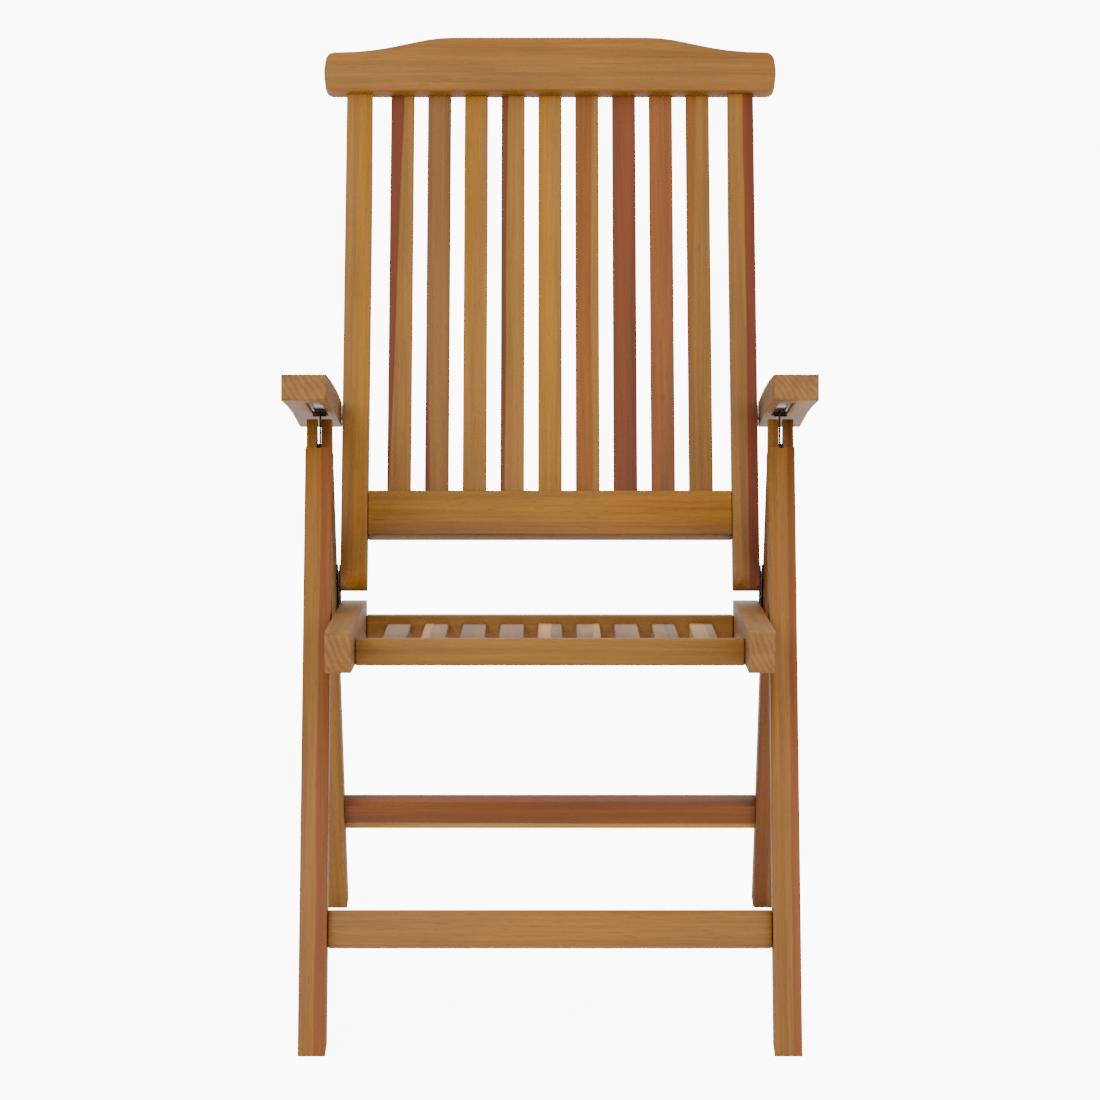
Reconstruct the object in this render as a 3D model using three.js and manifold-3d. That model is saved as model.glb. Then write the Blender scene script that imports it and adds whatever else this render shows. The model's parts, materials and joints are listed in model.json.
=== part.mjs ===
// A folding, reclining garden armchair in teak. Two A-frame sides hinge near the top of the front legs, a
// slatted seat and a slatted backrest turn on pins through the rear legs, and each armrest is bolted to the
// backrest and carries a notched rack that sits over a catch on the front leg.
// Millimetres. +X to the right, +Y to the back, +Z up. Lean angles are measured from upright.
import * as THREE from "three";
import { mergeVertices } from "three/addons/utils/BufferGeometryUtils.js";
import Module from "manifold-3d";

const wasm = await Module();
wasm.setup();

// ---------- driving dimensions ----------
const degrees = Math.PI / 180;
const gap = 0.3; // between pieces that touch
const turning = 0.8; // between pieces that turn past each other

const legThickness = 28.8;
const legDepth = 38;
const legInner = 231.7; // half the clear width between the legs
const frontLean = 26 * degrees;
const rearLean = 26.4 * degrees;
const hingeHeight = 519.4;
const shoulderHeight = 55.6; // along the front leg from the hinge to where its tongue starts
const tongueSetback = 5;
const tongueInset = 1;
const tongueBelowArm = 4;

const stretcherDepth = 20;
const frontStretcherHeight = 114;
const frontStretcherWidth = 38;
const rearStretcherHeight = 125;
const rearStretcherWidth = 33;
const pegRadius = 4;
const pegLength = 12;

const reclineAcross = 23.3; // recline pin, from the rear leg's front edge
const reclineAlong = 111.4; // and from the leg hinge, down the rear leg
const backLean = 30 * degrees;
const postThickness = 28.8;
const postClearance = 4.4; // between a post and the leg beside it
const postDepth = 36;
const postTaperFrom = 430; // above here the back of the post narrows to the top rail
const lowerRailBottom = 40;
const lowerRailWidth = 51;
const lowerRailDepth = 22;
const topRailBottom = 560;
const topRailOverhang = 25.7; // beyond each post
const topRailDepth = 24;
const topRailEnd = 47.5;
const topRailCrown = 65.5;
const topRailCrownWidth = 216;
const topRailProud = 10; // its front face, ahead of the posts

const slatCount = 9;
const slatWidth = 26;
const backSlatEnd = 20.7; // clear width between a post and the slat beside it
const backSlatDepth = 12;
const seatSlatEnd = 23.3; // clear width between a seat rail and the slat beside it
const seatSlatDepth = 12;

const seatTilt = 8.1 * degrees;
const seatFront = -392.6; // all measured from the recline pin, along and below it
const seatBack = 41.7;
const seatTop = -30.5;
const seatRailWidth = 42;
const seatRailThickness = 27;
const seatNose = 10;
const seatHeel = 24; // the rails' lower rear corner is rounded, so the rest pins pass it as the chair folds
const seatBarWidth = 27;
const seatBarDepth = 22;
const seatFrontBar = -304;
const seatRearBar = 10;
const seatSlatTop = -54;
const restPinBelow = 1.371; // its middle, under the seat rail's lower edge
const restPinAcross = 1.3; // behind the middle of the front leg
const restPinRadius = 5;
const restPinLength = 45;
const restSlotLength = 8;

const armSlope = 14.4 * degrees;
const armThickness = 27;
const armWidth = 46;
const armReach = 364.4;
const armTail = 32;
const armBow = 3.5;
const armPivotAlong = 186; // up the post from the recline pin
const rackStart = 110; // from the arm bolt to the near end of the rack
const rackLength = 205;
const rackWidth = 16;
const rackHeight = 5;
const rackSheet = 1.5;
const rackInset = 12; // depth of the groove under the arm
const notchCount = 5;
const notchPitch = 24.5;
const notchesNearer = 1; // notches between the catch, as the chair stands, and the arm bolt
const notchRadius = 2.8;
const catchAcross = 11; // catch pin, behind the front edge of the leg
const catchRadius = 2.5;
const catchLength = 14;
const catchClearance = 2.3; // below the rack's teeth

const plateThickness = 1.6;
const plateWidth = 16;
const bracketThickness = 1.5;
const bracketWidth = 22;
const legPlateThickness = 1.3;
const hingePinRadius = 3;
const hingeEye = 6.5;
const pivotPinRadius = 4;
const rivetRadius = 2.5;
const boltRadius = 4;
const washerRadius = 10;
const washerThickness = 1.6;

const legOuter = legInner + legThickness;
const legMiddle = legInner + legThickness / 2;
const postOuter = legInner - postClearance;
const postInner = postOuter - postThickness;
const armInner = postOuter + washerThickness + 2 * gap;
const seatRailOuter = postOuter;
const seatRailInner = seatRailOuter - seatRailThickness;
const slatPitch = (between, end) => (between - slatWidth - 2 * end) / (slatCount - 1);
const backSlatPitch = slatPitch(2 * postInner, backSlatEnd);
const seatSlatPitch = slatPitch(2 * seatRailInner, seatSlatEnd);

// ---------- materials ----------
function paint(color, roughness, metalness) {
  return new THREE.MeshStandardMaterial({ color, roughness, metalness });
}
const teak = paint(0xa5733e, 0.55, 0);
const steel = paint(0xc3beb4, 0.35, 0.9);
const darkSteel = paint(0x2b2927, 0.5, 0.8);

// ---------- shapes ----------
// A profile drawn in (Y, Z), given thickness along X from x0 to x1.
function acrossX(shape, x0, x1, curveSegments = 8) {
  const made = new THREE.ExtrudeGeometry(shape, { depth: x1 - x0, bevelEnabled: false, curveSegments });
  const turn = new THREE.Matrix4().makeBasis(
    new THREE.Vector3(0, 1, 0),
    new THREE.Vector3(0, 0, 1),
    new THREE.Vector3(1, 0, 0),
  );
  return made.applyMatrix4(turn).translate(x0, 0, 0);
}

// A profile drawn in (X, Z), given thickness along Y from y0 to y1.
function alongY(shape, y0, y1, curveSegments = 8) {
  const made = new THREE.ExtrudeGeometry(shape, { depth: y1 - y0, bevelEnabled: false, curveSegments });
  return made.rotateX(Math.PI / 2).translate(0, y1, 0);
}

function polygon(points) {
  return new THREE.Shape(points.map(([a, b]) => new THREE.Vector2(a, b)));
}

function block(x0, x1, y0, y1, z0, z1) {
  return acrossX(polygon([[y0, z0], [y1, z0], [y1, z1], [y0, z1]]), x0, x1);
}

function rod(y, z, radius, x0, x1) {
  const shape = new THREE.Shape();
  shape.absarc(y, z, radius, 0, 2 * Math.PI);
  return acrossX(shape, x0, x1, 7);
}

// A flat strip with round ends from one point to another.
function strip(from, to, width, x0, x1) {
  const along = new THREE.Vector2(to[0] - from[0], to[1] - from[1]);
  const heading = along.angle();
  const shape = new THREE.Shape();
  shape.absarc(from[0], from[1], width / 2, heading + Math.PI / 2, heading + 1.5 * Math.PI, false);
  shape.absarc(to[0], to[1], width / 2, heading - Math.PI / 2, heading + Math.PI / 2, false);
  return acrossX(shape, x0, x1, 6);
}

// ---------- cutting and joining ----------
function solid(geometry) {
  const bare = geometry.clone();
  bare.deleteAttribute("normal");
  bare.deleteAttribute("uv");
  const merged = mergeVertices(bare, 1e-4);
  return new wasm.Manifold(
    new wasm.Mesh({
      numProp: 3,
      vertProperties: new Float32Array(merged.attributes.position.array),
      triVerts: new Uint32Array(merged.index.array),
    }),
  );
}

function geometryOf(manifold) {
  const mesh = manifold.getMesh();
  return new THREE.BufferGeometry()
    .setAttribute("position", new THREE.BufferAttribute(new Float32Array(mesh.vertProperties), 3))
    .setIndex(new THREE.BufferAttribute(new Uint32Array(mesh.triVerts), 1));
}

function cut(geometry, ...tools) {
  return geometryOf(tools.reduce((left, tool) => left.subtract(solid(tool)), solid(geometry)));
}

function join(geometry, ...more) {
  return geometryOf(more.reduce((left, piece) => left.add(solid(piece)), solid(geometry)));
}

// The same piece on the other side of the chair, with its faces still pointing out.
function otherSide(geometry) {
  const flipped = geometry.index ? geometry.toNonIndexed() : geometry.clone();
  flipped.deleteAttribute("normal");
  flipped.deleteAttribute("uv");
  flipped.scale(-1, 1, 1);
  const p = flipped.attributes.position;
  for (let i = 0; i < p.count; i += 3) {
    const kept = [p.getX(i), p.getY(i), p.getZ(i)];
    p.setXYZ(i, p.getX(i + 1), p.getY(i + 1), p.getZ(i + 1));
    p.setXYZ(i + 1, ...kept);
  }
  return flipped;
}

function add(group, name, geometry, material) {
  const mesh = new THREE.Mesh(geometry, material);
  mesh.name = name;
  group.add(mesh);
}

function addPair(group, name, geometry, material) {
  add(group, name + "_right", geometry, material);
  add(group, name + "_left", otherSide(geometry), material);
}

// ---------- leaning frames ----------
// A frame has an origin in the chair's (Y, Z) and a turn about X. Its own z axis runs up its piece.
function outOf(frame, y, z) {
  const [c, s] = [Math.cos(frame.turn), Math.sin(frame.turn)];
  return [frame.y + y * c - z * s, frame.z + y * s + z * c];
}

function into(frame, y, z) {
  const [c, s] = [Math.cos(frame.turn), Math.sin(frame.turn)];
  const [dy, dz] = [y - frame.y, z - frame.z];
  return [dy * c + dz * s, dz * c - dy * s];
}

// How far along a frame's z axis the line at its own y meets a level.
function levelIn(frame, y, level) {
  return (level - frame.z - y * Math.sin(frame.turn)) / Math.cos(frame.turn);
}

const chair = new THREE.Group();
function frameGroup(name, [y, z], turn) {
  const group = new THREE.Group();
  group.name = name;
  group.position.set(0, y, z);
  group.rotation.x = turn;
  chair.add(group);
  return { group, y, z, turn };
}

// Both legs meet at the hinge, on the rear edge of the front leg.
const frontToe = (hingeHeight * Math.sin(frontLean) + legDepth) / Math.cos(frontLean);
const hinge = [frontToe, hingeHeight];
const front = frameGroup("front_frame", hinge, -frontLean);
const rear = frameGroup("rear_frame", hinge, rearLean);
const back = frameGroup("backrest", outOf(rear, reclineAcross, -reclineAlong), -backLean);
const seat = frameGroup("seat", [back.y, back.z], -seatTilt);
const arm = frameGroup("arms", outOf(back, 0, armPivotAlong), -armSlope);

// ---------- catch and rack heights ----------
const armUnder = -armThickness / 2;
const grooveTop = armUnder + rackInset;
const rackTop = grooveTop - gap;
const teethTips = rackTop - rackHeight;
const catchInArm = teethTips - catchClearance - catchRadius;
// How far up a front leg the line at its own y meets a level of another frame.
function upFrontLeg(across, frame, level) {
  const [, z0] = into(frame, ...outOf(front, across, 0));
  const [, z1] = into(frame, ...outOf(front, across, 1));
  return (level - z0) / (z1 - z0);
}

function catchPlace() {
  const across = -legDepth + catchAcross;
  const along = upFrontLeg(across, arm, catchInArm);
  const [inArm] = into(arm, ...outOf(front, across, along));
  return { across, along, inArm };
}
const catchPin = catchPlace();

// ---------- front legs ----------
const slotInner = legMiddle - plateThickness - 2 * gap - gap / 2;
const slotOuter = legMiddle + plateThickness + 2 * gap + gap / 2;
const catchPlateInner = legMiddle - gap / 2 - plateThickness;
const catchPlateOuter = legMiddle - gap / 2;
const rearPlateInner = legMiddle + gap / 2;
const rearPlateOuter = legMiddle + gap / 2 + plateThickness;
const eyeRoom = hingeEye + turning;
const slotFloor = -legDepth + 3; // the saw slot leaves this much wood in front of it
const pinEnd = 5;
const pinRoom = () => rod(0, 0, hingePinRadius + 1.5, legMiddle - pinEnd - gap, legMiddle + pinEnd + gap);
const catchRivets = [[-12, 16], [catchPin.across, shoulderHeight + 4]];

const tongueTop = (across) => upFrontLeg(across, arm, armUnder - tongueBelowArm);

function frontLeg() {
  const tongueFront = -legDepth + tongueSetback;
  const tongueBack = -13;
  const shaft = acrossX(
    polygon([
      [-legDepth, levelIn(front, -legDepth, 0)],
      [0, levelIn(front, 0, 0)],
      [0, shoulderHeight],
      [-legDepth, shoulderHeight],
    ]),
    legInner,
    legOuter,
  );
  const tongue = acrossX(
    polygon([
      [tongueFront, shoulderHeight - 1],
      [0, shoulderHeight - 1],
      [0, shoulderHeight + 8],
      [tongueBack, tongueTop(tongueBack)],
      [tongueFront, tongueTop(tongueFront)],
    ]),
    legInner + tongueInset,
    legOuter - tongueInset,
  );
  const eyeSlot = block(slotInner, slotOuter, slotFloor, 1, -eyeRoom - 8, shoulderHeight);
  const tongueSlot = block(slotInner, slotOuter, -legDepth - 1, 1, shoulderHeight - 1, shoulderHeight + 80);
  const rivetHoles = catchRivets.map(([y, z]) => rod(y, z, rivetRadius + gap, legMiddle - 9, legMiddle + 9));
  const [restY, restZ] = restPinInLeg();
  const restHole = rod(restY, restZ, restPinRadius + gap, legInner - 1, legInner + 19);
  return cut(join(shaft, tongue), eyeSlot, tongueSlot, pinRoom(), restHole, ...rivetHoles);
}

function restPinInLeg() {
  const across = -legDepth / 2 + restPinAcross;
  return [across, upFrontLeg(across, seat, seatTop - seatRailWidth - restPinBelow)];
}
const restPin = restPinInLeg();

function catchPlate() {
  const eye = rod(0, 0, hingeEye, catchPlateInner, catchPlateOuter);
  const lower = strip([0, 0], catchRivets[0], hingeEye * 2, catchPlateInner, catchPlateOuter);
  const middle = strip(catchRivets[0], catchRivets[1], plateWidth - 4, catchPlateInner, catchPlateOuter);
  const upper = strip(catchRivets[1], [catchPin.across, catchPin.along], 9, catchPlateInner, catchPlateOuter);
  const rivets = catchRivets.map(([y, z]) => rod(y, z, rivetRadius, legMiddle - 8, legMiddle + 8));
  const half = catchLength / 2;
  const pin = rod(catchPin.across, catchPin.along, catchRadius, legMiddle - half, legMiddle + half);
  const pinHole = rod(0, 0, hingePinRadius + gap, legInner, legOuter);
  return cut(join(eye, lower, middle, upper, ...rivets, pin), pinHole);
}

addPair(front.group, "front_leg", frontLeg(), teak);
addPair(front.group, "catch_plate", catchPlate(), darkSteel);
addPair(
  front.group,
  "seat_rest_pin",
  rod(...restPin, restPinRadius, legInner + 18 - restPinLength, legInner + 18),
  steel,
);

function stretcher(frame, middle, height, width) {
  const centre = levelIn(frame, middle, height);
  return block(
    -legInner + gap, legInner - gap,
    middle - stretcherDepth / 2, middle + stretcherDepth / 2,
    centre - width / 2, centre + width / 2,
  );
}
const frontStretcherBar = stretcher(front, -legDepth / 2, frontStretcherHeight, frontStretcherWidth);
add(front.group, "front_stretcher", frontStretcherBar, teak);

// ---------- rear legs ----------
const pivot = [reclineAcross, -reclineAlong];
const rearRivet = [14, -26];
const legPlateRivet = [reclineAcross, -reclineAlong - 38];
const pegPlace = [legDepth / 2, levelIn(rear, legDepth / 2, rearStretcherHeight)];

function rearLeg() {
  const opening = frontLean + rearLean;
  const endCut = (y) => (y - turning / Math.cos(opening)) / Math.tan(opening) - turning;
  const blunt = 29;
  const shape = polygon([
    [turning / 2, levelIn(rear, turning / 2, 0)],
    [legDepth, levelIn(rear, legDepth, 0)],
    [legDepth, endCut(blunt)],
    [blunt, endCut(blunt)],
    [turning / 2, endCut(turning / 2)],
  ]);
  return cut(
    acrossX(shape, legInner, legOuter),
    block(slotInner, slotOuter, -1, 24, -38, 12),
    pinRoom(),
    rod(...rearRivet, rivetRadius + gap, legMiddle - 9, legMiddle + 9),
    rod(...pivot, pivotPinRadius + gap, legInner - 1, legInner + 24),
    rod(...legPlateRivet, rivetRadius + gap, legInner - 1, legInner + 9),
    rod(...pegPlace, pegRadius + gap, legInner - 1, legInner + pegLength + gap),
  );
}

function rearPlate() {
  return cut(
    join(
      strip([0, 0], rearRivet, hingeEye * 2, rearPlateInner, rearPlateOuter),
      rod(...rearRivet, rivetRadius, legMiddle - 8, legMiddle + 8),
    ),
    rod(0, 0, hingePinRadius + gap, legInner, legOuter),
  );
}

function legPlate() {
  const outer = legInner - gap;
  const inner = outer - legPlateThickness;
  return cut(
    join(
      strip([pivot[0], pivot[1] + 4], [pivot[0], pivot[1] - 40], plateWidth, inner, outer),
      rod(...legPlateRivet, rivetRadius, inner, legInner + 8),
    ),
    rod(...pivot, pivotPinRadius + gap, inner - 1, outer + 1),
  );
}

addPair(rear.group, "rear_leg", rearLeg(), teak);
addPair(rear.group, "hinge_plate", rearPlate(), steel);
addPair(rear.group, "hinge_pin", rod(0, 0, hingePinRadius, legMiddle - pinEnd, legMiddle + pinEnd), steel);
addPair(rear.group, "leg_plate", legPlate(), darkSteel);
const rearStretcherBar = stretcher(rear, legDepth / 2, rearStretcherHeight, rearStretcherWidth);
function pegSocket(side) {
  const end = side * legInner;
  return rod(...pegPlace, pegRadius + gap, end - pegLength, end + pegLength);
}
add(rear.group, "rear_stretcher", cut(rearStretcherBar, pegSocket(-1), pegSocket(1)), teak);
addPair(
  rear.group,
  "stretcher_peg",
  rod(...pegPlace, pegRadius, legInner - pegLength + gap, legInner + pegLength),
  teak,
);

// ---------- backrest ----------
const postFront = -postDepth / 2;
const postBack = postDepth / 2;
const topRailFront = postFront - topRailProud;
const topRailBack = topRailFront + topRailDepth;
const armBoltInPost = [0, armPivotAlong];

function post() {
  const top = topRailBottom - gap;
  const shape = new THREE.Shape();
  shape.moveTo(postFront, top);
  shape.lineTo(postFront, 0);
  shape.absarc(0, 0, postDepth / 2, Math.PI, 2 * Math.PI, false);
  shape.lineTo(postBack, postTaperFrom);
  shape.lineTo(topRailBack, top);
  return cut(
    acrossX(shape, postInner, postOuter, 12),
    rod(0, 0, pivotPinRadius + gap, postOuter - 22, postOuter + 1),
    rod(...armBoltInPost, boltRadius + gap, postOuter - 24, postOuter + 1),
  );
}

// The top rail: bowed round ends, hollow shoulders and a raised flat crown.
function topRail() {
  const half = postOuter + topRailOverhang;
  const crownHalf = topRailCrownWidth / 2;
  const corner = 12;
  const [low, high] = [topRailBottom, topRailBottom + topRailEnd];
  const crown = topRailBottom + topRailCrown;
  const middle = (low + high) / 2;
  const shape = new THREE.Shape();
  shape.moveTo(-half + corner, low);
  shape.lineTo(half - corner, low);
  shape.quadraticCurveTo(half - 2, low, half - 1, low + corner);
  shape.quadraticCurveTo(half + 1, middle, half - 1, high - corner);
  shape.quadraticCurveTo(half - 2, high, half - corner, high);
  shape.bezierCurveTo(half - 80, high, crownHalf + 45, crown, crownHalf, crown);
  shape.lineTo(-crownHalf, crown);
  shape.bezierCurveTo(-crownHalf - 45, crown, -half + 80, high, -half + corner, high);
  shape.quadraticCurveTo(-half + 2, high, -half + 1, high - corner);
  shape.quadraticCurveTo(-half - 1, middle, -half + 1, low + corner);
  shape.quadraticCurveTo(-half + 2, low, -half + corner, low);
  return alongY(shape, topRailFront, topRailBack, 8);
}

addPair(back.group, "back_post", post(), teak);
add(back.group, "top_rail", topRail(), teak);
const lowerRailTop = lowerRailBottom + lowerRailWidth;
add(
  back.group,
  "back_lower_rail",
  block(
    -postInner + gap, postInner - gap, postFront, postFront + lowerRailDepth, lowerRailBottom, lowerRailTop,
  ),
  teak,
);
const backSlatFront = postFront + (lowerRailDepth - backSlatDepth) / 2 + 1;
for (let i = 0; i < slatCount; i++) {
  const x = (i - (slatCount - 1) / 2) * backSlatPitch;
  add(
    back.group,
    "back_slat_" + (i + 1),
    block(
      x - slatWidth / 2, x + slatWidth / 2,
      backSlatFront, backSlatFront + backSlatDepth,
      lowerRailTop + gap, topRailBottom - gap,
    ),
    teak,
  );
}
addPair(back.group, "recline_pin", rod(0, 0, pivotPinRadius, postOuter - 21, legInner + 23), steel);

// ---------- seat ----------
const seatBottom = seatTop - seatRailWidth;
const bracketInner = seatRailOuter + gap;
const bracketOuter = bracketInner + bracketThickness;
const bracketEnd = [20, seatTop - 24];
const bracketRivets = [[12, seatTop - 12], [24, seatTop - 31]];

function seatRail() {
  const shape = new THREE.Shape();
  shape.moveTo(seatFront + 4, seatBottom);
  shape.lineTo(seatBack - seatHeel, seatBottom);
  shape.quadraticCurveTo(seatBack, seatBottom, seatBack, seatBottom + seatHeel);
  shape.lineTo(seatBack, seatTop - 6);
  shape.quadraticCurveTo(seatBack, seatTop, seatBack - 6, seatTop);
  shape.lineTo(seatFront + seatNose, seatTop);
  shape.quadraticCurveTo(seatFront, seatTop, seatFront, seatTop - seatNose);
  shape.lineTo(seatFront, seatBottom + 4);
  shape.quadraticCurveTo(seatFront, seatBottom, seatFront + 4, seatBottom);
  const rest = into(seat, ...outOf(front, ...restPin));
  const away = [rest[0] + restSlotLength * 0.6, rest[1] - restSlotLength * 0.8];
  return cut(
    acrossX(shape, seatRailInner, seatRailOuter, 5),
    strip(rest, away, 2 * (restPinRadius + gap), seatRailInner - 1, seatRailOuter + 1),
    ...bracketRivets.map(([y, z]) => rod(y, z, rivetRadius + gap, seatRailOuter - 9, seatRailOuter + 1)),
  );
}

function seatBracket() {
  return cut(
    join(
      strip([0, 0], bracketEnd, bracketWidth, bracketInner, bracketOuter),
      ...bracketRivets.map(([y, z]) => rod(y, z, rivetRadius, seatRailOuter - 8, bracketOuter)),
    ),
    rod(0, 0, pivotPinRadius + gap, bracketInner - 1, bracketOuter + 1),
  );
}

addPair(seat.group, "seat_rail", seatRail(), teak);
addPair(seat.group, "seat_bracket", seatBracket(), darkSteel);
for (const [name, y] of [["seat_front_bar", seatFrontBar], ["seat_rear_bar", seatRearBar]]) {
  const inner = seatRailInner - gap;
  const bar = block(-inner, inner, y, y + seatBarDepth, seatBottom, seatBottom + seatBarWidth);
  add(seat.group, name, bar, teak);
}
for (let i = 0; i < slatCount; i++) {
  const x = (i - (slatCount - 1) / 2) * seatSlatPitch;
  add(
    seat.group,
    "seat_slat_" + (i + 1),
    block(
      x - slatWidth / 2, x + slatWidth / 2,
      seatFrontBar + seatBarDepth + gap, seatRearBar - gap,
      seatSlatTop - seatSlatDepth, seatSlatTop,
    ),
    teak,
  );
}

// ---------- armrests ----------
function armrest() {
  const half = armThickness / 2;
  const middle = (armTail - armReach) / 2;
  const round = 12;
  const shape = new THREE.Shape();
  shape.moveTo(-armReach, -half + 3);
  shape.quadraticCurveTo(-armReach, -half, -armReach + 3, -half);
  shape.quadraticCurveTo(middle, -half + 2 * armBow, armTail - round, -half);
  shape.quadraticCurveTo(armTail, -half, armTail, 0);
  shape.quadraticCurveTo(armTail, half, armTail - round, half);
  shape.quadraticCurveTo(middle, half + 2 * armBow, -armReach + 3, half);
  shape.quadraticCurveTo(-armReach, half, -armReach, half - 3);
  const side = rackWidth / 2 + gap;
  return cut(
    acrossX(shape, armInner, armInner + armWidth, 7),
    block(
      legMiddle - side, legMiddle + side,
      -rackStart - rackLength - gap, -rackStart + gap,
      -armThickness, grooveTop,
    ),
    rod(0, 0, boltRadius + gap, armInner - 1, armInner + 33),
  );
}

function armRack() {
  const half = rackWidth / 2;
  const [y0, y1] = [-rackStart - rackLength, -rackStart];
  const channel = block(legMiddle - half, legMiddle + half, y0, y1, teethTips, rackTop);
  const inside = half - rackSheet;
  const hollowTop = rackTop - rackSheet;
  const hollow = block(legMiddle - inside, legMiddle + inside, y0 - 1, y1 + 1, teethTips - 1, hollowTop);
  const notches = [];
  for (let i = 0; i < notchCount; i++) {
    const y = catchPin.inArm + (notchesNearer - i) * notchPitch;
    notches.push(rod(y, teethTips, notchRadius, legMiddle - half - 1, legMiddle + half + 1));
  }
  return cut(channel, hollow, ...notches);
}

function armBolt() {
  const washerStart = postOuter + gap;
  return join(
    rod(0, 0, boltRadius, postOuter - 23, armInner + 32),
    rod(0, 0, washerRadius, washerStart, washerStart + washerThickness),
  );
}

addPair(arm.group, "armrest", armrest(), teak);
addPair(arm.group, "arm_rack", armRack(), steel);
addPair(arm.group, "arm_bolt", armBolt(), steel);

// ---------- stand the chair on Z = 0, centred in X and Y ----------
const box = new THREE.Box3().setFromObject(chair, true);
chair.position.set(0, -(box.min.y + box.max.y) / 2, -box.min.z);

export default chair;
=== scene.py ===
# %% [markdown]
# # A folding teak armchair
# This lesson dresses a chair whose shape is already settled. Each piece of wood gets rounded edges
# and its own cut of teak, and the fittings get plated and near-black steel. Nothing here moves or
# resizes a part.

# %% Load the chair
import json
import math
import random

import bmesh
import bpy
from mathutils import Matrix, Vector


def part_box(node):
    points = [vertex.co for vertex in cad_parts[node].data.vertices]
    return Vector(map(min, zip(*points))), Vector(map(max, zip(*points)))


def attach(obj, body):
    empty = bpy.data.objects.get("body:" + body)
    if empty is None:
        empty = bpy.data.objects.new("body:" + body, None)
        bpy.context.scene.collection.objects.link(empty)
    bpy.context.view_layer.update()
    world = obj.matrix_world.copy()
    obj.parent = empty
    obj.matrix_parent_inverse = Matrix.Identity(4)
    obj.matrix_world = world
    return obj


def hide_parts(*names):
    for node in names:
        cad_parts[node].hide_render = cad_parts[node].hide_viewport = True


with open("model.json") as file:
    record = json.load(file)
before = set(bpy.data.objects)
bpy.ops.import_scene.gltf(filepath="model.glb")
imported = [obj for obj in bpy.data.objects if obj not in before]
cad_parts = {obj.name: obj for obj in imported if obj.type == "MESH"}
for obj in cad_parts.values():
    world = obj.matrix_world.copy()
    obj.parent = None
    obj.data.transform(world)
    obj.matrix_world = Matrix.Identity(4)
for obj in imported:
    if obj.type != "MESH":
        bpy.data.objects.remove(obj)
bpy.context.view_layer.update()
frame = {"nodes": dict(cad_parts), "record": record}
nodes = frame["nodes"]
bodies = frame["record"]["behaviour"]["bodies"]
body_of_node = {node: body for body, names in bodies.items() for node in names}
slot_of_node = {part["node"]: part["material_slot"] for part in frame["record"]["subparts"]}
MM = 0.001
MM_PER_METRE = 1000

# %% [markdown]
# ## Writing shaders as sums
# A material is a graph of small sums. Wiring each one by hand hides what is being worked out, so
# this class wraps a socket and lets Python's own +, - and * add the Math nodes. A Graph makes any
# other node in one call: its type, its settings, and then its inputs.

# %% A socket that can be added and multiplied
class Value:
    def __init__(self, graph, socket):
        self.graph = graph
        self.socket = socket

    def maths(self, operation, *others, first=None):
        inputs = [self, *others] if first is None else [first, self]
        return self.graph.node("ShaderNodeMath", {"operation": operation}, dict(enumerate(inputs)))[0]

    def __add__(self, other):
        return self.maths("ADD", other)

    def __radd__(self, other):
        return self.maths("ADD", first=other)

    def __sub__(self, other):
        return self.maths("SUBTRACT", other)

    def __rsub__(self, other):
        return self.maths("SUBTRACT", first=other)

    def __mul__(self, other):
        return self.maths("MULTIPLY", other)

    def __rmul__(self, other):
        return self.maths("MULTIPLY", first=other)

    def sine(self):
        return self.maths("SINE")

    def root(self):
        return self.maths("SQRT")

    def magnitude(self):
        return self.maths("ABSOLUTE")

    def smooth(self, low, high):
        settings = {"interpolation_type": "SMOOTHSTEP"}
        return self.graph.node("ShaderNodeMapRange", settings, {0: self, 1: low, 2: high})[0]


class Graph:
    def __init__(self, name):
        self.material = bpy.data.materials.new(name)
        self.material.use_nodes = True
        self.nodes = self.material.node_tree.nodes
        self.links = self.material.node_tree.links
        self.nodes.clear()
        self.shader = self.nodes.new("ShaderNodeBsdfPrincipled")
        output = self.nodes.new("ShaderNodeOutputMaterial")
        self.links.new(self.shader.outputs[0], output.inputs[0])

    def feed(self, node, inputs):
        for key, value in inputs.items():
            if isinstance(value, Value):
                self.links.new(value.socket, node.inputs[key])
            else:
                node.inputs[key].default_value = value

    def node(self, kind, settings=None, inputs=None):
        made = self.nodes.new(kind)
        for key, value in (settings or {}).items():
            setattr(made, key, value)
        self.feed(made, inputs or {})
        return [Value(self, socket) for socket in made.outputs]

    def attribute(self, name):
        made = self.nodes.new("ShaderNodeAttribute")
        made.attribute_name = name
        return made

    def mix(self, factor, a, b, blend="MIX"):
        settings = {"data_type": "RGBA", "blend_type": blend}
        return self.node("ShaderNodeMix", settings, {0: factor, 6: a, 7: b})[2]

    def noise(self, vector, scale, detail=3.0, roughness=0.55):
        inputs = {"Vector": vector, "Scale": scale, "Detail": detail, "Roughness": roughness}
        return self.node("ShaderNodeTexNoise", None, inputs)[0]

    def finish(self, inputs):
        self.feed(self.shader, inputs)
        return self.material


print("shader helpers ready")

# %% [markdown]
# ## Teak
# Sawn teak shows long fibres, darker growth lines that wander along the board, short open pores,
# and a jump in colour where heartwood meets sapwood. One material makes them all. What differs from
# board to board is carried on the mesh: `grain` says where a point lies across, through and along
# its own board, and more attributes give the board's two colours, where they meet, how streaky it
# is, how far a face looks along the grain, and any knot.

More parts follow.
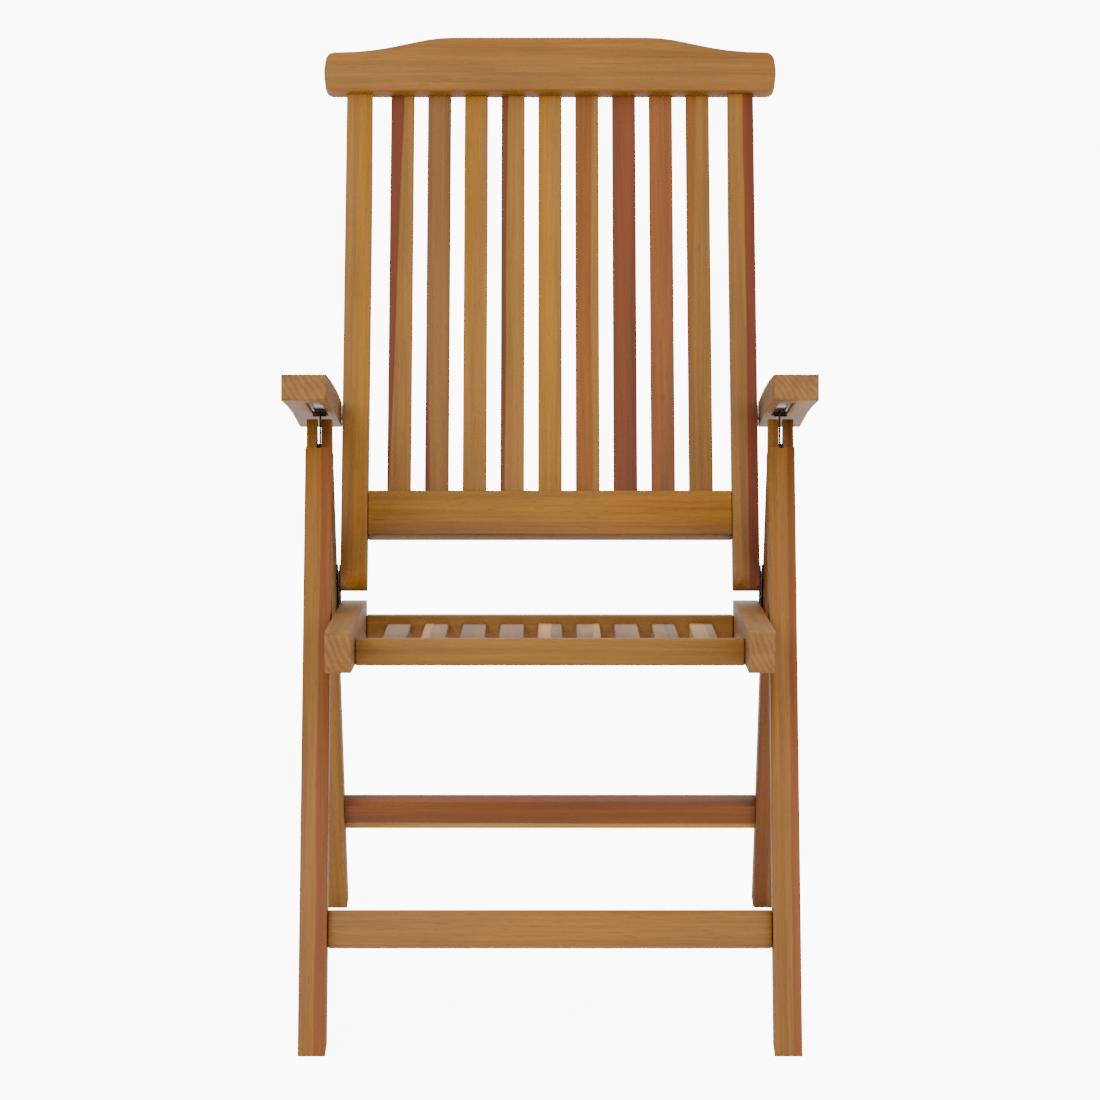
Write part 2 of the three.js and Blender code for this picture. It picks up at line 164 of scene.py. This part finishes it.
# %% What teak is made of
# Each pattern: repeats per metre across the board and along it, a shift of its own that keeps it
# from lining up with the others, its detail and its roughness.
PATTERNS = {
    "wander": (14, 2.2, 3.0, 3.0, 0.55),
    "fibres": (420, 9, 7.0, 4.0, 0.65),
    "bands": (75, 1.9, 11.0, 3.0, 0.55),
    "dark": (48, 1.3, 17.0, 4.0, 0.6),
    "pores": (1500, 60, 23.0, 1.0, 0.55),
    "clouds": (9, 4, 31.0, 2.0, 0.55),
}
RING_ACROSS = 900
RING_THROUGH = 500
RING_WANDER = 26
STREAK_BROWN = (0.115, 0.040, 0.014, 1.0)
PORE_BROWN = (0.10, 0.045, 0.018, 1.0)
END_BROWN = (0.17, 0.080, 0.032, 1.0)
KNOT_BROWN = (0.13, 0.035, 0.012, 1.0)
# The edge-shade brown is painted shade: it darkens a board along its side edges, where the round-overs turn
# away from the light.
EDGE_SHADE_BROWN = (0.075, 0.028, 0.008, 1.0)
PORE_DEPTH = 0.55
END_DEPTH = 0.30
KNOT_DEPTH = 0.55
EDGE_SHADE_DEPTH = 0.40
# The rest are millimetres, except the stretch: under 1 it makes a knot longer along the board.
BORDER_WANDER = 9
BORDER_BLUR = 0.9
KNOT_WANDER = 3
KNOT_BLUR = 2.0
KNOT_STRETCH = 0.45
# How far the painted edge shade reaches inside and outside a board's side edge.
EDGE_SHADE_INSIDE = 1.7
EDGE_SHADE_OUTSIDE = 0.3
print("teak has", len(PATTERNS), "patterns")

# %% The teak material
def teak():
    g = Graph("teak")
    grain = Value(g, g.attribute("grain").outputs["Vector"])
    facts = Value(g, g.attribute("board").outputs["Vector"])
    tone_a = Value(g, g.attribute("tone_a").outputs["Color"])
    tone_b = Value(g, g.attribute("tone_b").outputs["Color"])
    end_grain = Value(g, g.attribute("end_grain").outputs["Fac"])
    across, through, along = g.node("ShaderNodeSeparateXYZ", None, {0: grain})[:3]
    split, seed, streaks = g.node("ShaderNodeSeparateXYZ", None, {0: facts})[:3]
    shape = Value(g, g.attribute("shape").outputs["Vector"])
    slant, half = g.node("ShaderNodeSeparateXYZ", None, {0: shape})[:2]
    knot_fact = Value(g, g.attribute("knot").outputs["Vector"])
    knot_x, knot_z, knot_size = g.node("ShaderNodeSeparateXYZ", None, {0: knot_fact})[:3]

    def pattern(name):
        side, length, shift, detail, roughness = PATTERNS[name]
        inputs = {
            0: across * side + seed * shift,
            1: through * side + seed * (shift + 1.7),
            2: along * length + seed * (shift + 4.1),
        }
        stretched = g.node("ShaderNodeCombineXYZ", None, inputs)[0]
        return g.noise(stretched, 1.0, detail, roughness)

    wander, fibres, bands, dark, pores, clouds = (pattern(name) for name in PATTERNS)
    rings = (across * RING_ACROSS + through * RING_THROUGH + wander * RING_WANDER).sine() * 0.5 + 0.5

    border = across * MM_PER_METRE - split - along * slant + (wander - 0.5) * BORDER_WANDER
    colour = g.mix(border.smooth(-BORDER_BLUR, BORDER_BLUR), tone_a, tone_b)
    # The weights take the lightness from 0.66 of the board's own to 1.32.
    fine = fibres.smooth(0.32, 0.68)
    broad = bands.smooth(0.34, 0.66)
    shade = 0.66 + broad * 0.26 + fine * 0.18 + clouds.smooth(0.30, 0.70) * 0.16 + rings * 0.06
    shade = shade + end_grain * (rings - 0.5) * 0.30
    grey = g.node("ShaderNodeCombineColor", None, {0: shade, 1: shade, 2: shade})[0]
    colour = g.mix(1.0, colour, grey, "MULTIPLY")
    streak = dark.smooth(0.53, 0.64) * streaks
    colour = g.mix(streak, colour, STREAK_BROWN)
    pore = pores.smooth(0.62, 0.72) * PORE_DEPTH
    colour = g.mix(pore, colour, PORE_BROWN)
    colour = g.mix(end_grain * END_DEPTH, colour, END_BROWN)
    knot_across = across * MM_PER_METRE - knot_x
    knot_along = (along * MM_PER_METRE - knot_z) * KNOT_STRETCH
    distance = (knot_across * knot_across + knot_along * knot_along).root()
    knot = (knot_size - (distance + (wander - 0.5) * KNOT_WANDER)).smooth(0.0, KNOT_BLUR)
    colour = g.mix(knot * KNOT_DEPTH, colour, KNOT_BROWN)
    # Painted shade: the colour darkens towards each side edge of a slat or upright, standing in for the
    # shadow on its round-over.
    edge_shade = (across.magnitude() * MM_PER_METRE - half).smooth(-EDGE_SHADE_INSIDE, EDGE_SHADE_OUTSIDE)
    colour = g.mix(edge_shade * EDGE_SHADE_DEPTH, colour, EDGE_SHADE_BROWN)

    height = fibres * 0.6 - pore * 0.9 + rings * 0.15
    bump = g.node("ShaderNodeBump", None, {"Strength": 0.16, "Distance": 0.6 * MM, "Height": height})[0]
    return g.finish({
        "Base Color": colour,
        "Roughness": 0.46 + fibres * 0.12 + pore * 0.2,
        "Coat Weight": 0.02 + bands * 0.05,
        "Coat Roughness": 0.40,
        "Specular IOR Level": 0.28,
        "Normal": bump,
    })


TEAK = teak()
print("made", TEAK.name)

# %% [markdown]
# ## Steel
# The racks, bolts, pins and hinge plates are bright plated steel, rubbed along their length. The
# catches and the strips at the recline pin are near-black steel, worn to grey in places; on the catches the
# near-black is partly their own dark steel and partly painted shade from the slots they sit in.
# Both metals vary more in roughness than colour.

# %% The two steels
RUB_SCALE = (900.0, 60.0, 900.0)
PATCH_SCALE = 140.0


def metal(name, base, worn, rough, wear):
    g = Graph(name)
    place = Value(g, g.nodes.new("ShaderNodeTexCoord").outputs["Object"])
    stretch = g.node("ShaderNodeMapping", None, {"Vector": place, "Scale": RUB_SCALE})[0]
    rub = g.noise(stretch, 1.0, 3.0)
    patches = g.noise(place, PATCH_SCALE, 4.0)
    worn_here = patches.smooth(0.52, 0.70) * wear
    bump = g.node("ShaderNodeBump", None, {"Strength": 0.12, "Distance": 0.2 * MM, "Height": rub})[0]
    return g.finish({
        "Base Color": g.mix(worn_here, base, worn),
        "Metallic": 1.0,
        "Roughness": rough + rub * 0.16 - worn_here * 0.08,
        "Normal": bump,
    })


METALS = {
    "steel": metal(
        "plated_steel", base=(0.58, 0.56, 0.52, 1.0), worn=(0.36, 0.33, 0.29, 1.0),
        rough=0.24, wear=0.6,
    ),
    # Near-black steel: on the catches this dark is partly the steel's own colour and partly painted shade
    # from their slots.
    "dark_steel": metal(
        "dark_steel_and_slot_shade", base=(0.022, 0.021, 0.020, 1.0), worn=(0.16, 0.155, 0.15, 1.0),
        rough=0.36, wear=0.5,
    ),
}
print("made", ", ".join(m.name for m in METALS.values()))

# %% [markdown]
# ## Which way each board runs
# Grain follows the length of a board, and most boards here lean. The frame gives each node's
# vertices, so the longest straight edge of one long member in each body tells how that body leans.

# %% Find how each body leans
WELD = 0.02 * MM
SAME_PLANE = math.radians(1.0)
LEVEL = 0.05


def clean_copy(node):
    made = bmesh.new()
    made.from_mesh(nodes[node].data)
    bmesh.ops.remove_doubles(made, verts=made.verts, dist=WELD)
    bmesh.ops.dissolve_limit(made, angle_limit=SAME_PLANE, verts=made.verts, edges=made.edges)
    return made


def longest_edge(node):
    made = clean_copy(node)
    edge = max(made.edges, key=lambda e: e.calc_length())
    run = (edge.verts[1].co - edge.verts[0].co).normalized()
    made.free()
    return run if run.z > 0 or (abs(run.z) < LEVEL and run.y > 0) else -run


# The two arms lean alike, so the left one stands for both.
LEADERS = {
    "front_frame": "front_leg_left",
    "rear_frame": "rear_leg_left",
    "backrest": "back_post_left",
    "seat": "seat_rail_left",
    "armrest_left": "armrest_left",
    "armrest_right": "armrest_left",
}
lean = {body: longest_edge(node) for body, node in LEADERS.items()}
for body, run in lean.items():
    print(body, "runs", tuple(round(v, 3) for v in run))

# %% [markdown]
# ## A cut of teak for each board
# Colours are chosen board by board, as a maker lays out a batch: some boards are golden, some
# reddish, and some carry a border between heartwood and sapwood. `split` is where that border runs,
# in millimetres from the middle.

# %% The boards' colours
def srgb(red, green, blue):
    def linear(v):
        v /= 255
        return v / 12.92 if v <= 0.04045 else ((v + 0.055) / 1.055) ** 2.4

    return (linear(red), linear(green), linear(blue), 1.0)


TAN = srgb(132, 87, 26)
MID = srgb(131, 85, 26)
GOLD = srgb(142, 92, 6)
GREY_TAN = srgb(115, 75, 26)
BROWN = srgb(94, 43, 4)
RED_BROWN = srgb(102, 42, 3)
DEEP_RED = srgb(106, 50, 9)
PINK = srgb(122, 67, 20)
PALE = srgb(174, 124, 46)
AMBER = srgb(126, 70, 8)
# With these a board shows no border, no knot and no painted shade along its side edges.
NO_SPLIT = -60.0
NO_KNOT = (0.0, 0.0, -20.0)
NO_EDGE_SHADE = 900.0
# A knot is where it lies across and along its board from the middle, and its size, all in
# millimetres.
KNOTS = {"back_slat_8": (0.0, -125.0, 3.4), "back_slat_1": (-8.0, -38.0, 1.4)}

# Each board: left colour, right colour, where they meet, how streaky it is, and for a border that
# slants, how many millimetres it moves to the right per metre of height. On a board that runs from
# side to side, left stands for its lower part, or in the seat for its rear part.
BACK_SLATS = [
    (RED_BROWN, TAN, -5.0, 0.25, 28.0),
    (RED_BROWN, GREY_TAN, -12.5, 0.25, -20.0),
    (GOLD, TAN, -2.0, 0.12, 45.0),
    (BROWN, TAN, -7.5, 0.20, 6.0),
    (GOLD, TAN, 6.0, 0.35, -40.0),
    (AMBER, TAN, 4.0, 0.40, 0.0),
    (DEEP_RED, RED_BROWN, 9.0, 0.55, 10.0),
    (PINK, PINK, NO_SPLIT, 0.55, 0.0),
    (AMBER, TAN, -6.5, 0.22, 24.0),
]
SEAT_TONES = [
    (TAN, GREY_TAN, 2.0),
    (PALE, TAN, -4.0),
    (GREY_TAN, TAN, 3.0),
    (TAN, TAN, NO_SPLIT),
    (PALE, GREY_TAN, 0.0),
    (TAN, PALE, 5.0),
    (GREY_TAN, TAN, -5.0),
    (TAN, GREY_TAN, 1.0),
    (PALE, TAN, 4.0),
]
SEAT_SLATS = [(left, right, split, 0.2, 0.0) for left, right, split in SEAT_TONES]
BOARDS = {
    "top_rail": (MID, MID, NO_SPLIT, 0.12, 0.0),
    "back_post_left": (TAN, GOLD, -3.0, 0.22, 12.0),
    "back_post_right": (TAN, RED_BROWN, 3.0, 0.35, 0.0),
    "back_lower_rail": (MID, GOLD, -11.0, 0.16, 0.0),
    "front_leg_left": (MID, PINK, 2.0, 0.40, 0.0),
    "front_leg_right": (MID, PINK, 6.0, 0.35, 0.0),
    "rear_leg_left": (MID, TAN, 0.0, 0.25, 0.0),
    "rear_leg_right": (PINK, MID, 2.0, 0.30, 0.0),
    "front_stretcher": (MID, MID, NO_SPLIT, 0.18, 0.0),
    "rear_stretcher": (PALE, PINK, -9.0, 0.55, 0.0),
    "seat_front_bar": (MID, TAN, 0.0, 0.20, 0.0),
    "seat_rear_bar": (TAN, MID, 2.0, 0.20, 0.0),
}
DEFAULT_BOARD = (MID, TAN, -2.0, 0.25, 0.0)
print("colours for", len(BOARDS) + len(BACK_SLATS) + len(SEAT_SLATS), "boards")

# %% Write a board's facts onto its mesh
X = Vector((1, 0, 0))
BOARD_LAYERS = {
    "grain": "FLOAT_VECTOR",
    "board": "FLOAT_VECTOR",
    "tone_a": "FLOAT_COLOR",
    "tone_b": "FLOAT_COLOR",
    "end_grain": "FLOAT",
    "knot": "FLOAT_VECTOR",
    "shape": "FLOAT_VECTOR",
}


def paint_board(mesh, faces, centre, across, along, board, seed, half=NO_EDGE_SHADE, knot=NO_KNOT):
    """Gives these faces' corners their place in the board, and the board's colours."""
    through = along.cross(across)
    tone_a, tone_b, split, streaks, slant = board
    for name, kind in BOARD_LAYERS.items():
        if name not in mesh.attributes:
            mesh.attributes.new(name, kind, "CORNER")
    layers = {name: mesh.attributes[name] for name in BOARD_LAYERS}
    for face in faces:
        ends_on = abs(face.normal.dot(along)) ** 4
        for corner in face.loop_indices:
            place = mesh.vertices[mesh.loops[corner].vertex_index].co - centre
            layers["grain"].data[corner].vector = (place.dot(across), place.dot(through), place.dot(along))
            layers["board"].data[corner].vector = (split, seed, streaks)
            layers["tone_a"].data[corner].color = tone_a
            layers["tone_b"].data[corner].color = tone_b
            layers["end_grain"].data[corner].value = ends_on
            layers["knot"].data[corner].vector = knot
            layers["shape"].data[corner].vector = (slant, half, 0.0)


def finish_piece(mesh, name, body, replaced, material):
    piece = bpy.data.objects.new(name, mesh)
    bpy.context.scene.collection.objects.link(piece)
    mesh.materials.clear()
    mesh.materials.append(material)
    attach(piece, body)
    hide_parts(*replaced)
    return piece


print("board painter ready")

# %% [markdown]
# ## Rounding the edges
# Hardwood chairs are sanded over, so every long edge is round and catches the light. Each board is
# a copy of its node with its loose triangles merged into flat faces. Bevels go only on outward
# edges, and stay away from the sockets and saw slots that hold the fittings, because a bevel there
# would be limited by the narrowest gap and would thin the round-over everywhere else.

# %% Round one board
FITTINGS = [n for n in nodes if slot_of_node[n] != "teak"]
SIDE_ROOM = Vector((1.2, 6, 6)) * MM
fitting_boxes = []
for fitting in FITTINGS:
    low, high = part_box(fitting)
    fitting_boxes.append((Vector(low) - SIDE_ROOM, Vector(high) + SIDE_ROOM))
SHARP = math.radians(35)
SHORTEST = 1.2 * MM
FLAT_AREA = 8.64  # a face stays flat above this many squared radii


def near_fitting(point):
    return any(all(low[i] < point[i] < high[i] for i in range(3)) for low, high in fitting_boxes)


def rounded_board(node, radius, segments=3):
    made = clean_copy(node)
    made.normal_update()
    chosen = [
        e for e in made.edges
        if len(e.link_faces) == 2
        and e.is_convex
        and e.calc_face_angle(0) > SHARP
        and e.calc_length() > SHORTEST
        and not near_fitting((e.verts[0].co + e.verts[1].co) / 2)
    ]
    flat = set(made.faces)
    bmesh.ops.bevel(
        made, geom=chosen, offset=radius, offset_type="OFFSET", segments=segments,
        profile=0.5, affect="EDGES", clamp_overlap=True,
    )
    for face in made.faces:
        face.smooth = not (face.calc_area() > FLAT_AREA * radius ** 2 and face in flat)
    bmesh.ops.triangulate(made, faces=[f for f in made.faces if len(f.verts) > 4])
    mesh = bpy.data.meshes.new("board_" + node)
    made.to_mesh(mesh)
    made.free()
    return mesh


print("keeping clear of", len(fitting_boxes), "fittings")

# %% Round every board
RADIUS = {
    "top_rail": 4.0,
    "armrest": 3.5,
    "seat_rail": 3.0,
    "back_post": 2.8,
    "front_leg": 2.6,
    "rear_leg": 2.6,
}
DEFAULT_RADIUS = 2.0
WIDEST_UPRIGHT = 100 * MM
rng = random.Random(7)
wood_nodes = [n for n in nodes if slot_of_node[n] == "teak" and "slat" not in n]
for node in sorted(wood_nodes):
    body = body_of_node[node]
    radius = next((r for stem, r in RADIUS.items() if node.startswith(stem)), DEFAULT_RADIUS) * MM
    mesh = rounded_board(node, radius)
    low, high = (Vector(corner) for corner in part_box(node))
    crosswise = high.x - low.x > WIDEST_UPRIGHT
    along = X if crosswise else lean[body]
    across = lean[body] if crosswise else X
    board = BOARDS.get(node, DEFAULT_BOARD)
    # Uprights get painted shade along their side edges; crosswise boards get none.
    half = NO_EDGE_SHADE if crosswise else (high.x - low.x) / 2 / MM
    paint_board(mesh, mesh.polygons, (low + high) / 2, across, along, board, rng.uniform(0, 40), half)
    finish_piece(mesh, "wood_" + node, body, [node], TEAK)
print("rounded", len(wood_nodes), "boards")

# %% [markdown]
# ## Slats
# Nine equal slats stand in the back and nine lie in the seat. They repeat, so a small Geometry
# Nodes tree makes them: one rounded rectangle is swept into a slat, copied along a line, and turned
# to lean with its panel. The tree also numbers the slats, so that each can be given its own cut of
# wood afterwards.

# %% The slat tree
CORNER_POINTS = 4


def slat_tree():
    tree = bpy.data.node_groups.new("slats", "GeometryNodeTree")
    kinds = {
        "Count": "Int", "Pitch": "Float", "Width": "Float", "Depth": "Float", "Length": "Float",
        "Edge": "Float", "Place": "Vector", "Turn": "Vector", "Material": "Material",
    }
    for name, kind in kinds.items():
        tree.interface.new_socket(name, in_out="INPUT", socket_type="NodeSocket" + kind)
    tree.interface.new_socket("Geometry", in_out="OUTPUT", socket_type="NodeSocketGeometry")

    def add(kind, inputs=None, settings=None):
        made = tree.nodes.new(kind)
        for key, value in (settings or {}).items():
            setattr(made, key, value)
        for key, value in (inputs or {}).items():
            if isinstance(value, bpy.types.NodeSocket):
                tree.links.new(value, made.inputs[key])
            else:
                made.inputs[key].default_value = value
        return made.outputs

    def times(a, b):
        return add("ShaderNodeMath", {0: a, 1: b}, {"operation": "MULTIPLY"})[0]

    given = add("NodeGroupInput")
    box = add("GeometryNodeCurvePrimitiveQuadrilateral", {"Width": given["Width"], "Height": given["Depth"]})
    corners = {"Curve": box[0], "Radius": given["Edge"], "Count": CORNER_POINTS}
    outline = add("GeometryNodeFilletCurve", corners, {"mode": "POLY"})
    rise = add("ShaderNodeCombineXYZ", {"Z": given["Length"]})
    path = add("GeometryNodeCurvePrimitiveLine", {"End": rise[0]})
    sweep = {"Curve": path[0], "Profile Curve": outline[0], "Fill Caps": True}
    slat = add("GeometryNodeCurveToMesh", sweep)

    gaps = add("ShaderNodeMath", {0: given["Count"], 1: 1}, {"operation": "SUBTRACT"})
    first = add("ShaderNodeCombineXYZ", {"X": times(times(gaps[0], given["Pitch"]), -0.5)})
    step = add("ShaderNodeCombineXYZ", {"X": given["Pitch"]})
    line = {"Count": given["Count"], "Start Location": first[0], "Offset": step[0]}
    row = add("GeometryNodeMeshLine", line)
    copies = add("GeometryNodeInstanceOnPoints", {"Points": row[0], "Instance": slat[0]})
    index = add("GeometryNodeInputIndex")
    label = {"Geometry": copies[0], "Name": "slat", "Value": index[0]}
    numbered = add("GeometryNodeStoreNamedAttribute", label, {"data_type": "INT", "domain": "INSTANCE"})
    plain = add("GeometryNodeRealizeInstances", {0: numbered[0]})
    lean_over = {"Geometry": plain[0], "Translation": given["Place"], "Rotation": given["Turn"]}
    leaning = add("GeometryNodeTransform", lean_over)
    painted = add("GeometryNodeSetMaterial", {"Geometry": leaning[0], "Material": given["Material"]})
    add("NodeGroupOutput", {0: painted[0]})
    return tree


SLATS = slat_tree()
print("slat tree has", len(SLATS.nodes), "nodes")

# %% Run the tree and keep its mesh
def grown(tree, name, inputs):
    carrier = bpy.data.objects.new(name + "_carrier", bpy.data.meshes.new(name))
    bpy.context.scene.collection.objects.link(carrier)
    modifier = carrier.modifiers.new("grow", "NODES")
    modifier.node_group = tree
    identifiers = {s.name: s.identifier for s in tree.interface.items_tree if s.in_out == "INPUT"}
    for key, value in inputs.items():
        modifier[identifiers[key]] = value
    graph = bpy.context.evaluated_depsgraph_get()
    mesh = bpy.data.meshes.new_from_object(carrier.evaluated_get(graph))
    bpy.data.objects.remove(carrier)
    return mesh


print("ready to grow", SLATS.name)

# %% Measure the slats and make both rows
def slat_sizes(stem, count):
    """Width, depth, length, pitch and middle of a row of slats, read from its first and last nodes."""
    made = clean_copy(stem + "1")
    runs = sorted({round(e.calc_length(), 5) for e in made.edges})
    made.free()
    centres = [sum((Vector(c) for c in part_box(stem + str(i))), Vector()) / 2 for i in (1, count)]
    pitch = (centres[1].x - centres[0].x) / (count - 1)
    return runs[1], runs[0], runs[-1], pitch, (centres[0] + centres[1]) / 2


SLAT_EDGE = 1.8 * MM
ROUNDED_SHARE = 0.25  # a face smaller than this share of the slat's broad side belongs to its round edge


def slat_row(stem, body, boards, name):
    count = len(boards)
    width, depth, length, pitch, middle = slat_sizes(stem, count)
    run = lean[body]
    turn = math.atan2(-run.y, run.z)
    place = middle - run * (length / 2)
    mesh = grown(SLATS, name, {
        "Count": count, "Pitch": pitch, "Width": width, "Depth": depth, "Length": length, "Edge": SLAT_EDGE,
        "Place": tuple(place), "Turn": (turn, 0.0, 0.0), "Material": TEAK,
    })
    numbers = [v.value for v in mesh.attributes["slat"].data]
    for index, board in enumerate(boards):
        faces = [f for f in mesh.polygons if numbers[f.vertices[0]] == index]
        centre = middle + X * (index - (count - 1) / 2) * pitch
        knot = KNOTS.get(stem + str(index + 1), NO_KNOT)
        # Each slat gets painted shade along its side edges.
        paint_board(mesh, faces, centre, X, run, board, rng.uniform(0, 40), width / 2 / MM, knot)
    for face in mesh.polygons:
        face.use_smooth = face.area < ROUNDED_SHARE * width * length and len(face.vertices) == 4
    print(name, len(mesh.polygons), "faces; slat", [round(v / MM, 1) for v in (width, depth, length, pitch)])
    return finish_piece(mesh, name, body, [stem + str(i + 1) for i in range(count)], TEAK)


slat_row("back_slat_", "backrest", BACK_SLATS, "back_slats")
slat_row("seat_slat_", "seat", SEAT_SLATS, "seat_slats")

# %% [markdown]
# ## Fittings
# The steel pieces already have their true shape, so they stay as they are and only get their
# metals.

# %% Give the fittings their metals
for fitting in FITTINGS:
    for slot in nodes[fitting].material_slots:
        slot.material = METALS[slot_of_node[fitting]]
print("dressed", len(FITTINGS), "fittings")

# %% [markdown]
# ## Floor, light and camera
# Broad soft lights keep every face readable, with a stronger one from the upper left so that the
# round-overs show. The floor and the backdrop are white to the camera alone, so they brighten the
# picture without washing out the wood. The camera stands well back with a long lens, looking a
# little down.

# %% Lay the floor
BLACK = (0.0, 0.0, 0.0, 1.0)
WHITE = (1.0, 1.0, 1.0, 1.0)
FLOOR_SIZE = 60
FLOOR_GLOW = 9.0
FLOOR_DROP = 0.5 * MM


def pale_floor():
    bpy.ops.mesh.primitive_plane_add(size=FLOOR_SIZE)
    floor = bpy.context.object
    floor.name = "floor"
    g = Graph("floor_pale")
    place = Value(g, g.nodes.new("ShaderNodeTexCoord").outputs["Object"])
    seen = g.node("ShaderNodeLightPath")[0]
    floor.data.materials.append(g.finish({
        "Base Color": (0.90, 0.90, 0.895, 1.0),
        "Roughness": 0.75 + g.noise(place, 3.0) * 0.1,
        "Emission Color": g.mix(seen, BLACK, WHITE),
        "Emission Strength": FLOOR_GLOW,
    }))
    floor.location.z = -FLOOR_DROP


pale_floor()
print("floor laid", FLOOR_SIZE, "m wide")

# %% Hang the lights
AIM = Vector((0, 0, 0.5))
# Each light: where it hangs, its width in metres, and its watts.
LIGHTS = {
    "key": ((-2.2, -3.0, 3.2), 2.4, 95),
    "fill": ((2.8, -2.6, 1.8), 2.6, 55),
    "back": ((0.4, 3.2, 2.8), 2.4, 45),
}


def soft_light(name, place, size, watts):
    data = bpy.data.lights.new(name, "AREA")
    data.size = size
    data.energy = watts
    light = bpy.data.objects.new(name, data)
    light.location = place
    light.rotation_mode = "QUATERNION"
    light.rotation_quaternion = (AIM - Vector(place)).to_track_quat("-Z", "Y")
    bpy.context.scene.collection.objects.link(light)


for name, facts in LIGHTS.items():
    soft_light(name, *facts)
print("hung", len(LIGHTS), "lights")

# %% Light the sky
AMBIENT = 1.25
BACKDROP = 10.0
world = bpy.data.worlds.new("studio")
world.use_nodes = True
ambient = world.node_tree.nodes["Background"]
backdrop = world.node_tree.nodes.new("ShaderNodeBackground")
for sky, strength in ((ambient, AMBIENT), (backdrop, BACKDROP)):
    sky.inputs["Color"].default_value = WHITE
    sky.inputs["Strength"].default_value = strength
either = world.node_tree.nodes.new("ShaderNodeMixShader")
path = world.node_tree.nodes.new("ShaderNodeLightPath")
join = world.node_tree.links.new
join(path.outputs["Is Camera Ray"], either.inputs[0])
join(ambient.outputs[0], either.inputs[1])
join(backdrop.outputs[0], either.inputs[2])
join(either.outputs[0], world.node_tree.nodes["World Output"].inputs["Surface"])
bpy.context.scene.world = world
print("sky", AMBIENT, "for the wood,", BACKDROP, "for the camera")

# %% Set the camera
CAMERA_BACK = 4.788
CAMERA_HEIGHT = 1.534
CAMERA_DOWN = math.radians(11.8)
SENSOR = 36.0
LENS = 158.7
front_toe = min(v.co.y for v in nodes["front_leg_left"].data.vertices if v.co.z < MM)
camera_data = bpy.data.cameras.new("camera")
camera_data.sensor_width = SENSOR
camera_data.lens = LENS
camera = bpy.data.objects.new("camera", camera_data)
camera.location = (0.0, front_toe - CAMERA_BACK, CAMERA_HEIGHT)
camera.rotation_euler = (math.pi / 2 - CAMERA_DOWN, 0.0, 0.0)
bpy.context.scene.collection.objects.link(camera)
bpy.context.scene.camera = camera
print("camera at", tuple(round(v, 3) for v in camera.location))
